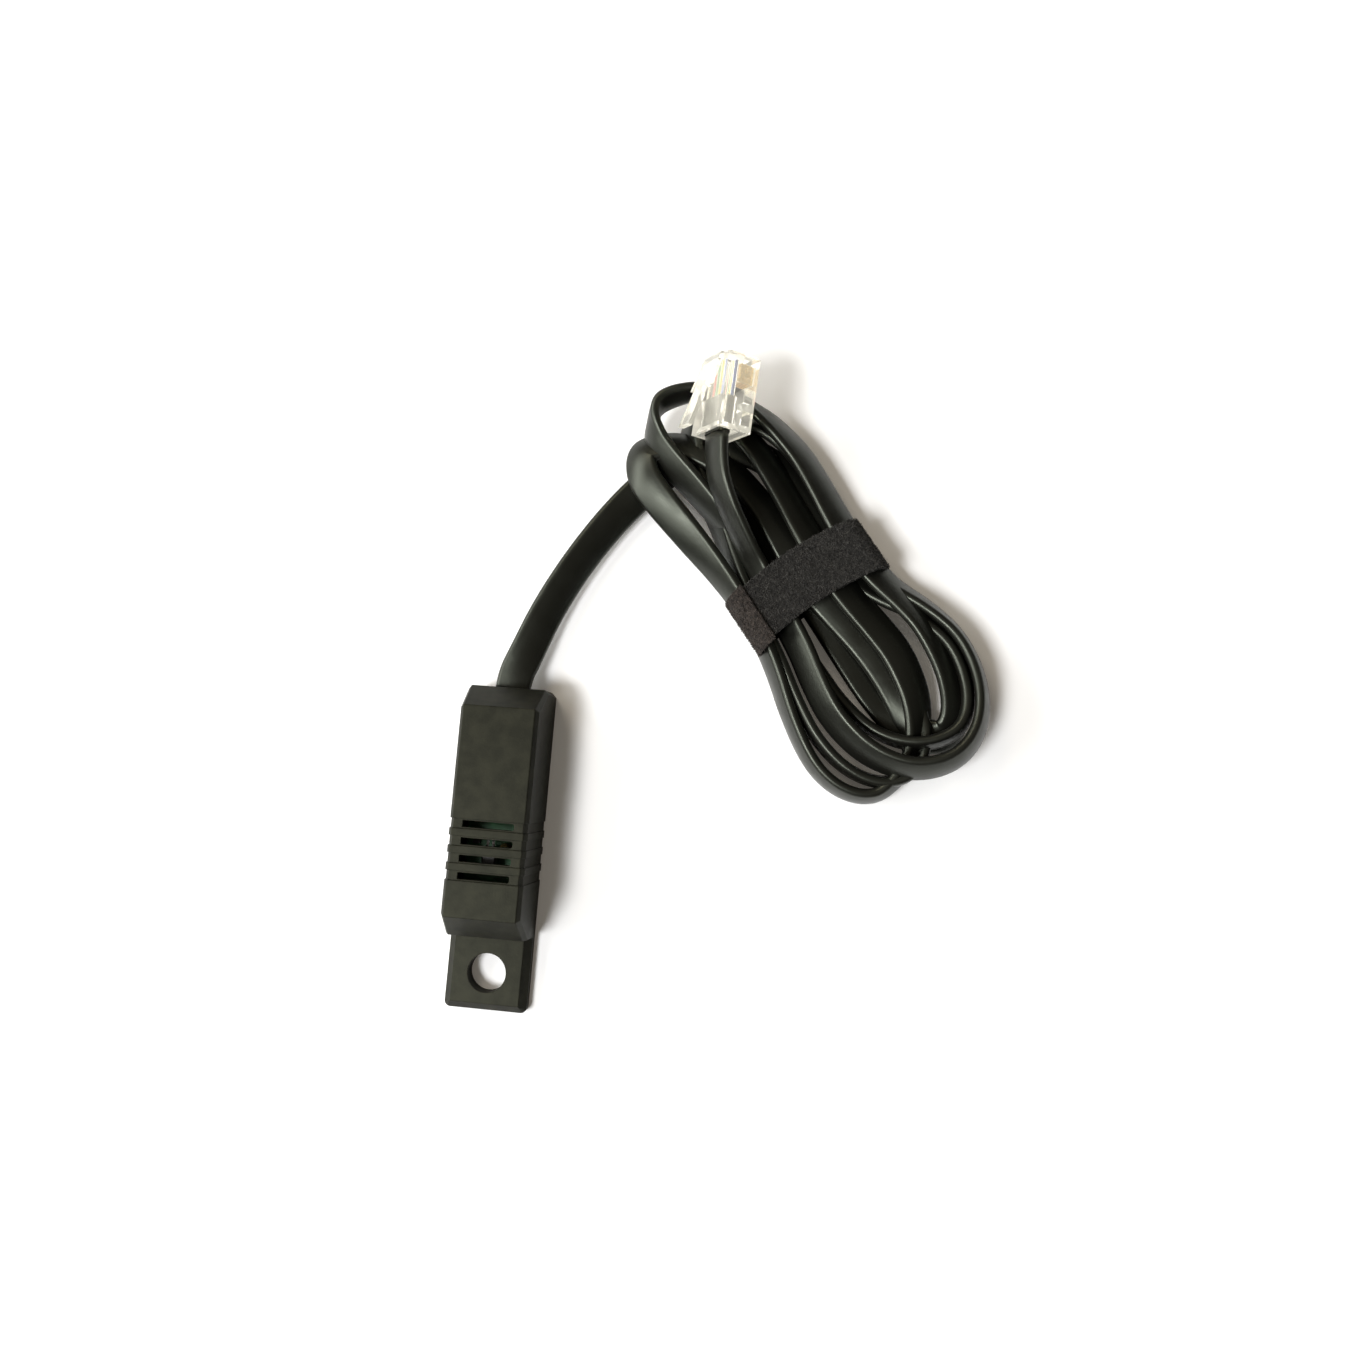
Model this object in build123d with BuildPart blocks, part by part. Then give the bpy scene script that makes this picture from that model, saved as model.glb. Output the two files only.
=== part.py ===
"""Rack temperature sensor: a small two-part housing with a screw tab and vent slots, a circuit board with
its sensing parts, and a flat six-core cord wound in a hank under a hook-and-loop tie, with a modular plug.
Millimetres. The origin is on the axis of the screw hole, at the back of the base. +Y runs along the
housing towards the cord, +Z is the cover side."""
import os
from math import atan, cos, degrees, hypot, pi, radians, sin, tan

from build123d import *

os.makedirs("parts", exist_ok=True)

# Housing, outside
housing_width = 15.4
housing_height = 12.5
body_length = 45.4
tab_length = 13.8
tab_thickness = 3.1
tab_bevel_width = 1.35
tab_bevel_height = 1.5
tab_corner_radius = 1.1
screw_hole_diameter = 7.1
side_draft = 0.55
chamfer_width = 0.65
shoulder_drop = 0.9
end_slope_run = 3.95
end_slope_foot = 7.0
corner_cut = 0.9
edge_radius = 0.25
wall = 1.4
cut_overrun = 0.5
fit_gap = 0.1

# Vents in the cover
vent_count = 4
vent_pitch = 3.05
vent_length = 9.3
vent_height = 1.2
vent_corner = 0.45
vent_first = 18.15
groove_width = 1.75
groove_depth = 0.2

# Joint between base and cover
floor_thickness = 1.4
tongue_height = 1.4
tongue_thickness = 0.8
snap_length = 7.0
snap_radius = 0.3
snap_groove_radius = 0.42
snap_shares = (0.2, 0.8)

# Circuit board and its posts
board_thickness = 1.2
board_headroom = 6.1
board_margin = 2.6
board_grip_gap = 3.4
board_corner = 0.8
post_diameter = 2.8
post_pin_diameter = 1.2
post_pin_reach = 1.2
post_hole_diameter = 1.4
pillar_diameter = 2.8
pillar_bore_depth = 1.6
post_inset = 2.0

# Flat cord
cord_width = 6.6
cord_thickness = 2.4
core_diameter = 0.9
core_pitch = 1.02
core_names = ("white", "black", "red", "green", "yellow", "blue")
cord_centre_height = 3.6
grip_length = 8.4
grip_rib_thickness = 1.0
grip_rib_spacing = 3.6
cord_gap = 0.05
bend_share = 0.45
cord_trim = 1.5
pad_pitch = 1.6
pad_inset = 1.6
core_rise = 1.5
core_stretch = 1.2
core_clear = 0.6
core_bend = 0.7
solder_width = 1.4
solder_height = 0.75

# Sensing parts on the board
bead_diameter = 3.0
bead_x = 2.9
bead_y = 22.9
bead_rise = 2.7
lead_diameter = 0.5
lead_pitch = 1.0
bead_foot_diameter = 1.8
bead_neck_angle = 32.0
bead_foot_depth = 1.75
chip_width = 2.6
chip_length = 3.4
chip_thickness = 1.6
chip_y = 20.7
chip_x = -0.1
chip_lift = 1.7
chip_corner = 0.3
chip_lead_pitch = 1.0
chip_lead_width = 0.45
chip_lead_thickness = 0.25
chip_lead_reach = 2.3
chip_lead_bend = 0.5
capacitor_size = (1.25, 2.0, 0.9)
terminal_length = 0.4
terminal_lip = 0.06
resistor_size = (1.25, 2.0, 0.55)
capacitor_place = (-3.2, 28.5)
resistor_place = (-3.2, 24.6)

# Cord route from the housing to the hank, points chosen by hand
lead_points = [
    (0.0, 52.3, 3.6),
    (1.7, 58.4, 3.5),
    (5.3, 68.0, 3.45),
    (11.2, 78.9, 3.4),
    (18.6, 89.3, 3.35),
    (26.6, 97.2, 3.35),
]

# Hank: seen from above its long axis runs away from the plug, square to the tie
hank_centre = (53.35, 75.05, 0)
hank_turn = 37.5
hank_waist = 26.2
hank_height = 9.2
plug_end_reach = 47.5
plug_end_width = 34.0
plug_end_height = 6.9
far_end_reach = 41.0
far_end_width = 37.6
far_end_height = 9.6
plug_end_shares = (
    (-0.88, 0.3),
    (-0.98, 0.55),
    (-1.0, 0.78),
    (-0.55, 0.92),
    (-0.12, 1.0),
    (0.3, 0.92),
    (0.7, 0.72),
    (0.92, 0.45),
    (0.9, 0.25),
)
far_end_shares = (
    (0.86, 0.23),
    (0.97, 0.42),
    (1.0, 0.66),
    (0.7, 0.91),
    (0.1, 1.0),
    (-0.55, 0.95),
    (-0.95, 0.75),
    (-0.95, 0.45),
    (-0.86, 0.31),
)
bed_share = 0.5

# Hook-and-loop tie
tie_width = 10.8
tie_thickness = 1.2
tie_corner = 1.0
tie_gap = 0.1

# Plug
plug_place = (35.5, 100.0)
plug_yaw = 3.5
plug_roll = 57.0
plug_width = 9.65
plug_height = 6.6
plug_length = 14.0
plug_nose_chamfer = 0.5
plug_clearance = 0.15
plug_cord_lift = 0.7
plug_cord_depth = 6.2
plug_mouth_flare = 0.8
plug_mouth_depth = 1.2
window_length = 2.6
window_depth = 1.7
window_margin = 1.5
window_starts = (1.5, 5.6)
latch_thickness = 1.0
latch_root_length = 1.6
latch_nose_gap = 0.3
latch_root_height = 0.5
latch_root_width = 6.0
latch_tail_width = 3.3
latch_step = 7.0
latch_rise = 4.4
latch_overhang = 0.4
contact_count = 6
contact_pitch = 1.02
contact_thickness = 0.3
contact_length = 3.4
contact_height = 2.6
contact_inset = 1.5
contact_sink = 0.35
contact_radius = 0.4
spike_base = 0.8
contact_gap = 0.02
spike_height = 0.5
plug_core_end_gap = 1.2
plug_core_gap = 0.04

# Cord route from the plug into the hank, points chosen by hand
tail_points = [
    (34.9, 100.0, 13.3),
    (34.6, 94.2, 13.2),
    (36.2, 87.9, 12.0),
    (38.9, 82.0, 10.0),
    (42.4, 76.4, 7.6),
]

body_start = tab_length / 2
body_end = body_start + body_length
tab_end = body_start - tab_length
cover_seat = tab_thickness
shoulder_width = housing_width - 2 * side_draft
top_width = shoulder_width - 2 * chamfer_width
shoulder_level = housing_height - shoulder_drop
slope_rise = housing_height - end_slope_foot
side_lean = side_draft / (shoulder_level - cover_seat)
peak = shoulder_width / 2 - side_lean * shoulder_drop
vent_stations = [vent_first + step * vent_pitch for step in range(vent_count)]


def cross_section(inset):
    """Outline of the cover across the housing, inset evenly from the outside."""
    foot = housing_width / 2 - inset
    shoulder = shoulder_width / 2 - inset
    crown = top_width / 2 - inset
    return [
        (-foot, cover_seat),
        (-shoulder, shoulder_level - inset),
        (-crown, housing_height - inset),
        (crown, housing_height - inset),
        (shoulder, shoulder_level - inset),
        (foot, cover_seat),
    ]


def side_section(inset):
    """Outline of the cover seen from the side, with a sloping facet at each end."""
    shift = inset * hypot(end_slope_run, slope_rise) / slope_rise
    low = end_slope_foot + (inset - shift) * slope_rise / end_slope_run
    crest = end_slope_run * (1 - inset / slope_rise) + shift
    near, far = body_start + inset, body_end - inset
    return [
        (near, cover_seat),
        (near, low),
        (body_start + crest, housing_height - inset),
        (body_end - crest, housing_height - inset),
        (far, low),
        (far, cover_seat),
    ]


def lobe(shares, width, reach):
    """Outline points of one lobe of the hank, from their shares of its width and of its reach."""
    return [(across * width / 2, along * reach) for across, along in shares]


def save(part, name):
    """Label a finished piece and write its file."""
    part.label = name
    export_step(part, f"parts/{name}.step")


def end_plane(y):
    """Plane across the housing at y. What is extruded from it runs back towards the tab."""
    return Plane.XZ.offset(-y)


def corner_radii(points):
    """Largest smooth radius at each inner point of a cord's route, from its two runs and its turn."""
    spots = [Vector(*point) for point in points]
    radii = []
    for before, here, after in zip(spots, spots[1:], spots[2:]):
        into, out = here - before, after - here
        turn = radians(into.get_angle(out))
        radii.append(bend_share * min(into.length, out.length) / tan(turn / 2))
    return radii


def route(points):
    """Cord route as straight runs joined by tangent arcs, started a little early to be trimmed flush."""
    start, second = Vector(*points[0]), Vector(*points[1])
    early = start - (second - start).normalized() * cord_trim
    path = [early] + [Vector(*point) for point in points[1:]]
    return FilletPolyline(*path, radius=corner_radii(points))


def report_cord(name, points, path, part):
    """Print a cord's length and bend radii, and its volume beside its section times its length."""
    section = pi * (cord_width / 2) ** 2
    print(name, "length", round(path.length, 1), "radii", [round(r, 1) for r in corner_radii(points)])
    print(name, "volume", round(part.volume, 1), "section times length", round(section * path.length, 1))


tab_flat = tab_thickness - tab_bevel_height
tab_bevel_angle = degrees(atan(tab_bevel_width / tab_bevel_height))
inner_width = housing_width - 2 * wall
inner_length = body_length - 2 * wall
body_middle = (body_start + body_end) / 2
tongue_width = inner_width - 4 * fit_gap
tongue_length = inner_length - 2 * fit_gap
snap_level = tab_thickness + tongue_height / 2
snap_stations = [body_start + share * body_length for share in snap_shares]
ceiling = housing_height - wall
board_seat = ceiling - board_headroom
board_top = board_seat + board_thickness
board_width = tongue_width - 2 * tongue_thickness - 2 * fit_gap
board_length = body_length - board_margin - board_grip_gap - grip_length
board_start = body_start + board_margin
board_end = board_start + board_length
board_middle = (board_start + board_end) / 2
pad_line = board_end - pad_inset
post_stations = [board_start + post_inset, pad_line - solder_width - post_inset]
grip_start = body_end - grip_length
grip_top = cord_centre_height + cord_thickness / 2
rib_stations = [grip_start + grip_rib_thickness + step * grip_rib_spacing for step in range(2)]
core_stations = [step - (len(core_names) - 1) / 2 for step in range(len(core_names))]

# Base: a flat moulding with the screw tab, a pocket, a tongue round its rim and posts for the board. The
# grooves of the cover run on down its sides
with BuildPart() as housing_base:
    with BuildSketch() as tab_plan:
        with Locations((0, tab_end)):
            Rectangle(housing_width, tab_length + wall + tab_bevel_width, align=(Align.CENTER, Align.MIN))
        fillet(tab_plan.vertices().group_by(Axis.Y)[0], radius=tab_corner_radius)
    extrude(amount=tab_flat)
    extrude(faces().sort_by(Axis.Z)[-1], amount=tab_bevel_height, taper=tab_bevel_angle)
    with BuildSketch() as body_plan:
        with Locations((0, body_start)):
            Rectangle(housing_width, body_length, align=(Align.CENTER, Align.MIN))
        chamfer(body_plan.vertices().group_by(Axis.Y)[-1], length=corner_cut)
    extrude(amount=tab_thickness)
    for station in vent_stations:
        with BuildSketch():
            with Locations((0, station)):
                Rectangle(2 * housing_width, groove_width)
                Rectangle(housing_width - 2 * groove_depth, groove_width, mode=Mode.SUBTRACT)
        extrude(amount=tab_thickness, mode=Mode.SUBTRACT)
    Hole(radius=screw_hole_diameter / 2)
    with BuildSketch(Plane.XY.offset(tab_thickness)):
        with Locations((0, body_middle)):
            Rectangle(tongue_width, tongue_length)
    extrude(amount=tongue_height)
    with BuildSketch(Plane.XY.offset(floor_thickness)):
        with Locations((0, body_middle)):
            Rectangle(tongue_width - 2 * tongue_thickness, tongue_length - 2 * tongue_thickness)
    extrude(amount=housing_height, mode=Mode.SUBTRACT)
    for station in snap_stations:
        with BuildSketch(end_plane(station + snap_length / 2)):
            with Locations((-tongue_width / 2, snap_level), (tongue_width / 2, snap_level)):
                Circle(snap_radius)
        extrude(amount=snap_length)
    for station in post_stations:
        with BuildSketch(Plane.XY.offset(floor_thickness)):
            with Locations((0, station)):
                Circle(post_diameter / 2)
        extrude(amount=board_seat - floor_thickness)
        with BuildSketch(Plane.XY.offset(board_seat)):
            with Locations((0, station)):
                Circle(post_pin_diameter / 2)
        extrude(amount=board_thickness + post_pin_reach)
    for station in rib_stations:
        with BuildSketch(Plane.XY.offset(floor_thickness)):
            with Locations((0, station)):
                Rectangle(tongue_width - tongue_thickness, grip_rib_thickness)
        extrude(amount=grip_top - floor_thickness)
    with BuildSketch(end_plane(body_end)):
        with Locations((0, cord_centre_height)):
            SlotOverall(cord_width + 2 * cord_gap, cord_thickness)
            Rectangle(cord_width + 2 * cord_gap, housing_height, align=(Align.CENTER, Align.MIN))
    extrude(amount=grip_length, mode=Mode.SUBTRACT)
save(housing_base.part, "housing_base")

# Cover: a hollow moulding with sloping ends, a chamfer that follows the top and the slopes on each side,
# four slots in shallow grooves and two pillars
with BuildPart() as cover_cavity:
    with BuildSketch(end_plane(body_end - wall)):
        Polygon(*cross_section(wall), align=None)
    extrude(amount=inner_length)
    with BuildSketch(Plane.YZ):
        Polygon(*side_section(wall), align=None)
    extrude(amount=housing_width, both=True, mode=Mode.INTERSECT)

with BuildPart() as housing_cover:
    with BuildSketch(end_plane(body_end)):
        Polygon(
            (-housing_width / 2, cover_seat),
            (-peak, housing_height),
            (peak, housing_height),
            (housing_width / 2, cover_seat),
            align=None,
        )
    extrude(amount=body_length)
    with BuildSketch(Plane.YZ):
        Polygon(*side_section(0), align=None)
    extrude(amount=housing_width, both=True, mode=Mode.INTERSECT)
    for end in (0, -1):
        side_wall = housing_cover.faces().sort_by(Axis.X)[end]
        long_edges = side_wall.edges().filter_by(lambda edge: edge.center().Z > end_slope_foot)
        chamfer(long_edges, length=shoulder_drop, length2=peak - top_width / 2, reference=side_wall)
    with BuildSketch() as cover_plan:
        with Locations((0, body_middle)):
            Rectangle(housing_width, body_length)
        chamfer(cover_plan.vertices().group_by(Axis.Y)[-1], length=corner_cut)
    extrude(amount=housing_height, mode=Mode.INTERSECT)
    seat_edges = housing_cover.faces().sort_by(Axis.Z)[0].edges()
    fillet(housing_cover.edges() - seat_edges, radius=edge_radius)
    for station in vent_stations:
        with BuildSketch(end_plane(station + groove_width / 2)):
            Rectangle(2 * housing_width, 4 * housing_height)
            Polygon(*cross_section(groove_depth), align=None, mode=Mode.SUBTRACT)
        extrude(amount=groove_width, mode=Mode.SUBTRACT)
    add(cover_cavity.part, mode=Mode.SUBTRACT)
    with BuildSketch(Plane.XY.offset(ceiling - cut_overrun)) as vent_plan:
        with Locations(*[(0, station) for station in vent_stations]):
            Rectangle(vent_length, vent_height)
        fillet(vent_plan.vertices().group_by(Axis.X)[-1], radius=vent_corner)
    extrude(amount=wall + 2 * cut_overrun, mode=Mode.SUBTRACT)
    for station in snap_stations:
        with BuildSketch(end_plane(station + snap_length / 2 + fit_gap)):
            with Locations((-tongue_width / 2, snap_level), (tongue_width / 2, snap_level)):
                Circle(snap_groove_radius)
        extrude(amount=snap_length + 2 * fit_gap, mode=Mode.SUBTRACT)
    for station in post_stations:
        with BuildSketch(Plane.XY.offset(board_top + fit_gap)):
            with Locations((0, station)):
                Circle(pillar_diameter / 2)
        extrude(amount=ceiling - board_top - fit_gap)
        with BuildSketch(Plane.XY.offset(board_top + fit_gap)):
            with Locations((0, station)):
                Circle(post_hole_diameter / 2)
        extrude(amount=pillar_bore_depth, mode=Mode.SUBTRACT)
    for station in rib_stations:
        with BuildSketch(Plane.XY.offset(grip_top)):
            with Locations((0, station)):
                Rectangle(cord_width - cord_thickness, grip_rib_thickness)
        extrude(until=Until.NEXT)
    with BuildSketch(end_plane(body_end)):
        with Locations((0, cord_centre_height)):
            SlotOverall(cord_width + 2 * cord_gap, cord_thickness)
            Rectangle(cord_width + 2 * cord_gap, cord_thickness, align=(Align.CENTER, Align.MAX))
    extrude(amount=grip_length, mode=Mode.SUBTRACT)
save(housing_cover.part, "housing_cover")

# Circuit board on its two posts
with BuildPart() as circuit_board:
    with BuildSketch(Plane.XY.offset(board_seat)):
        with Locations((0, board_middle)):
            RectangleRounded(board_width, board_length, board_corner)
        with Locations(*[(0, station) for station in post_stations]):
            Circle(post_hole_diameter / 2, mode=Mode.SUBTRACT)
    extrude(amount=board_thickness)
save(circuit_board.part, "circuit_board")

# Thermistor: a resin bead with a tapered foot, and its two wires
bead_height = board_top + bead_rise
bead_foot = bead_height - bead_foot_depth
bead_neck = (bead_diameter / 2) * cos(radians(bead_neck_angle))
bead_neck_level = bead_height - (bead_diameter / 2) * sin(radians(bead_neck_angle))
with BuildPart() as thermistor_bead:
    with BuildSketch(Plane.XZ.offset(-bead_y)):
        with BuildLine():
            Polyline(
                (bead_x, bead_height + bead_diameter / 2),
                (bead_x, bead_foot),
                (bead_x + bead_foot_diameter / 2, bead_foot),
                (bead_x + bead_neck, bead_neck_level),
            )
            ThreePointArc(
                (bead_x + bead_neck, bead_neck_level),
                (bead_x + bead_diameter / 2, bead_height),
                (bead_x, bead_height + bead_diameter / 2),
            )
        make_face()
    revolve(axis=Axis((bead_x, bead_y, 0), (0, 0, 1)))
save(thermistor_bead.part, "thermistor_bead")

with BuildPart() as thermistor_leads:
    with BuildSketch(Plane.XY.offset(board_top)):
        with Locations((bead_x, bead_y)):
            with GridLocations(lead_pitch, 0, 2, 1):
                Circle(lead_diameter / 2)
    extrude(amount=bead_foot - board_top)
save(thermistor_leads.part, "thermistor_leads")

# Sensing chip: a flat moulded body held over the board by two formed legs
chip_foot = board_top + chip_lift
chip_middle = chip_foot + chip_thickness / 2
with BuildPart() as sensor_chip:
    with BuildSketch(Plane.XY.offset(chip_foot)):
        with Locations((chip_x, chip_y)):
            Rectangle(chip_width, chip_length)
    extrude(amount=chip_thickness)
    chamfer(sensor_chip.faces().sort_by(Axis.Z)[-1].edges(), length=chip_corner)
save(sensor_chip.part, "sensor_chip")

chip_edge = chip_y + chip_length / 2
with BuildPart() as chip_legs:
    for side in (-1, 1):
        leg_x = chip_x + side * chip_lead_pitch / 2
        with BuildLine() as leg_line:
            FilletPolyline(
                (leg_x, chip_edge, chip_middle),
                (leg_x, chip_edge + chip_lead_reach, chip_middle),
                (leg_x, chip_edge + chip_lead_reach, board_top),
                radius=chip_lead_bend,
            )
        with BuildSketch(Plane(origin=leg_line.line @ 0, x_dir=(1, 0, 0), z_dir=(0, 1, 0))):
            Rectangle(chip_lead_width, chip_lead_thickness)
        sweep(path=leg_line.line)
save(chip_legs.part, "sensor_chip_legs")

# Two small surface parts, each a body between two plated ends
for part_name, (part_width, part_length, part_height), part_place in (
    ("capacitor", capacitor_size, capacitor_place),
    ("resistor", resistor_size, resistor_place),
):
    with BuildPart() as surface_part:
        with BuildSketch(Plane.XY.offset(board_top)):
            with Locations(part_place):
                Rectangle(part_width, part_length - 2 * terminal_length)
        extrude(amount=part_height)
        with BuildSketch(Plane.XY.offset(board_top)):
            with Locations(part_place):
                with GridLocations(0, part_length - terminal_length, 1, 2):
                    Rectangle(part_width + terminal_lip, terminal_length)
        extrude(amount=part_height + terminal_lip)
    save(surface_part.part, part_name)

# Cord inside the housing: the flat jacket in its grip, and six cores up to their pads on the board
with BuildPart() as cord_root:
    with BuildSketch(end_plane(body_end)):
        with Locations((0, cord_centre_height)):
            SlotOverall(cord_width, cord_thickness)
    extrude(amount=grip_length)
save(cord_root.part, "cord_root")

for core_name, station in zip(core_names, core_stations):
    core_x, pad_x = station * core_pitch, station * pad_pitch
    with BuildPart() as board_core:
        with BuildLine() as core_line:
            FilletPolyline(
                (core_x, grip_start, cord_centre_height),
                (core_x, grip_start - core_stretch, cord_centre_height),
                (pad_x, board_end + core_clear, board_top + core_rise),
                (pad_x, pad_line, board_top + core_rise),
                (pad_x, pad_line, board_top),
                radius=core_bend,
            )
        with BuildSketch(end_plane(grip_start)):
            with Locations((core_x, cord_centre_height)):
                Circle(core_diameter / 2)
        sweep(path=core_line.line)
    save(board_core.part, f"board_core_{core_name}")

on_board = (Align.CENTER, Align.CENTER, Align.MIN)
with BuildPart() as solder_joints:
    with Locations(*[(station * pad_pitch, pad_line, board_top) for station in core_stations]):
        Cone(solder_width / 2, core_diameter / 2 + cord_gap, solder_height, align=on_board)
        Cylinder(core_diameter / 2, solder_height, align=on_board, mode=Mode.SUBTRACT)
save(solder_joints.part, "solder_joints")

# Hank: one closed solid of its outer shape, two lobes with a straight waist where the tie holds it
hank_plane = Plane(origin=hank_centre).rotated((0, 0, hank_turn))
hank_side = Plane(origin=hank_centre, x_dir=hank_plane.y_dir, z_dir=hank_plane.x_dir)
hank_across = Plane(origin=hank_centre, x_dir=hank_plane.x_dir, z_dir=-hank_plane.y_dir)
waist_end = tie_width / 2 + tie_gap
waist_half = hank_waist / 2
with BuildPart() as cord_hank:
    with BuildSketch(hank_plane):
        with BuildLine():
            Spline(
                (-waist_half, waist_end),
                *lobe(plug_end_shares, plug_end_width, plug_end_reach),
                (waist_half, waist_end),
            )
            Line((waist_half, waist_end), (waist_half, -waist_end))
            Spline(
                (waist_half, -waist_end),
                *lobe(far_end_shares, far_end_width, -far_end_reach),
                (-waist_half, -waist_end),
            )
            Line((-waist_half, -waist_end), (-waist_half, waist_end))
        make_face()
    extrude(amount=housing_height)
    with BuildSketch(hank_side):
        Polygon(
            (waist_end, 0),
            (plug_end_reach + wall, 0),
            (plug_end_reach + wall, plug_end_height),
            (bed_share * plug_end_reach, plug_end_height),
            (waist_end, hank_height),
            (-waist_end, hank_height),
            (-bed_share * far_end_reach, far_end_height),
            (-far_end_reach - wall, far_end_height),
            (-far_end_reach - wall, 0),
            (-waist_end, 0),
            (-waist_end, tie_thickness),
            (waist_end, tie_thickness),
            align=None,
        )
    extrude(amount=far_end_width, both=True, mode=Mode.INTERSECT)
save(cord_hank.part, "cord_hank")

# Tie: a flat band closed round the waist of the hank
with BuildPart() as cord_tie:
    with BuildSketch(hank_across) as tie_outline:
        Rectangle(
            hank_waist + 2 * tie_thickness, hank_height + tie_thickness, align=(Align.CENTER, Align.MIN)
        )
        fillet(tie_outline.vertices(), radius=tie_corner)
    extrude(amount=tie_width / 2, both=True)
    add(cord_hank.part, mode=Mode.SUBTRACT)
save(cord_tie.part, "cord_tie")

# Plug: its own frame runs from the rear to the nose, across its width, and up to the latch
yaw, roll = radians(plug_yaw), radians(plug_roll)
nose = Vector(sin(yaw), cos(yaw), 0)
across = Vector(cos(roll) * cos(yaw), -cos(roll) * sin(yaw), sin(roll))
latch_side = Vector(-sin(roll) * cos(yaw), sin(roll) * sin(yaw), cos(roll))
plug_rise = (plug_width * sin(roll) + plug_height * cos(roll)) / 2
plug_origin = Vector(*plug_place, plug_end_height + plug_clearance + plug_rise)
plug_flat = Plane(origin=plug_origin, x_dir=across, z_dir=latch_side)
plug_side = Plane(origin=plug_origin, x_dir=nose, z_dir=across)
plug_rear = Plane(origin=plug_origin, x_dir=across, z_dir=-nose)
half_height = plug_height / 2
contact_top = contact_sink + contact_height - half_height
contact_start = plug_length - contact_inset - contact_length
contact_stations = [step - (contact_count - 1) / 2 for step in range(contact_count)]
core_end = plug_length - plug_core_end_gap
plug_mouth_angle = degrees(atan(plug_mouth_flare / plug_mouth_depth))
latch_slope = (latch_rise - latch_root_height) / (plug_length + latch_overhang)


def latch_outline(back):
    """Side outline of the latch from the nose back to the given place along the plug."""
    top = half_height + latch_root_height + (plug_length - back) * latch_slope
    return [
        (plug_length - latch_nose_gap, half_height - latch_root_height),
        (plug_length - latch_nose_gap, half_height + latch_root_height),
        (back, top),
        (back, max(top - latch_thickness, half_height)),
        (plug_length - latch_root_length, half_height),
        (plug_length - latch_root_length, half_height - latch_root_height),
    ]


with BuildPart() as plug_body:
    with BuildSketch(plug_rear):
        Rectangle(plug_width, plug_height)
    extrude(amount=-plug_length)
    chamfer(plug_body.faces().sort_by(Axis(plug_origin, nose))[-1].edges(), length=plug_nose_chamfer)
    with BuildSketch(plug_side.offset(-latch_tail_width / 2)):
        Polygon(*latch_outline(-latch_overhang), align=None)
    extrude(amount=latch_tail_width)
    with BuildSketch(plug_side.offset(-latch_root_width / 2)):
        Polygon(*latch_outline(plug_length - latch_step), align=None)
    extrude(amount=latch_root_width)
    with BuildSketch(plug_rear):
        with Locations((0, plug_cord_lift)):
            Rectangle(cord_width + 2 * plug_mouth_flare, cord_thickness + 2 * plug_mouth_flare)
    extrude(amount=-plug_mouth_depth, taper=plug_mouth_angle, mode=Mode.SUBTRACT)
    with BuildSketch(plug_rear):
        with Locations((0, plug_cord_lift)):
            SlotOverall(cord_width + 2 * cord_gap, cord_thickness + 2 * cord_gap)
    extrude(amount=-plug_cord_depth, mode=Mode.SUBTRACT)
    with BuildSketch(plug_rear.offset(-plug_cord_depth)):
        with Locations(*[(station * contact_pitch, plug_cord_lift) for station in contact_stations]):
            Circle(core_diameter / 2 + plug_core_gap)
    extrude(amount=plug_cord_depth - core_end, mode=Mode.SUBTRACT)
    for window_start in window_starts:
        with BuildSketch(plug_flat.offset(-half_height)):
            with Locations((0, window_start)):
                Rectangle(plug_width - 2 * window_margin, window_length, align=(Align.CENTER, Align.MIN))
        extrude(amount=window_depth, mode=Mode.SUBTRACT)
    with BuildSketch(plug_flat.offset(-half_height)):
        with Locations((0, contact_start + contact_length / 2)):
            with GridLocations(contact_pitch, 0, contact_count, 1):
                Rectangle(contact_thickness + 2 * contact_gap, contact_length + 2 * contact_gap)
    extrude(amount=contact_top + spike_height + half_height, mode=Mode.SUBTRACT)
save(plug_body.part, "plug_body")

for number, station in enumerate(contact_stations, start=1):
    with BuildPart() as contact:
        with BuildSketch(plug_side.offset(station * contact_pitch - contact_thickness / 2)) as blade:
            with Locations((contact_start, contact_top)):
                Rectangle(contact_length, contact_height, align=(Align.MIN, Align.MAX))
            fillet(blade.vertices().group_by(Axis(plug_origin, latch_side))[0], radius=contact_radius)
            for spike in (contact_start, contact_start + contact_length - spike_base):
                Polygon(
                    (spike, contact_top),
                    (spike + spike_base, contact_top),
                    (spike + spike_base / 2, contact_top + spike_height),
                    align=None,
                )
        extrude(amount=contact_thickness)
    save(contact.part, f"plug_contact_{number}")

with BuildPart() as plug_jacket:
    with BuildSketch(plug_rear):
        with Locations((0, plug_cord_lift)):
            SlotOverall(cord_width, cord_thickness)
    extrude(amount=-plug_cord_depth)
save(plug_jacket.part, "plug_jacket")

for core_name, station in zip(core_names, contact_stations):
    with BuildPart() as plug_core:
        with BuildSketch(plug_rear.offset(-plug_cord_depth)):
            with Locations((station * contact_pitch, plug_cord_lift)):
                Circle(core_diameter / 2)
        extrude(amount=plug_cord_depth - core_end)
    save(plug_core.part, f"plug_core_{core_name}")

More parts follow.
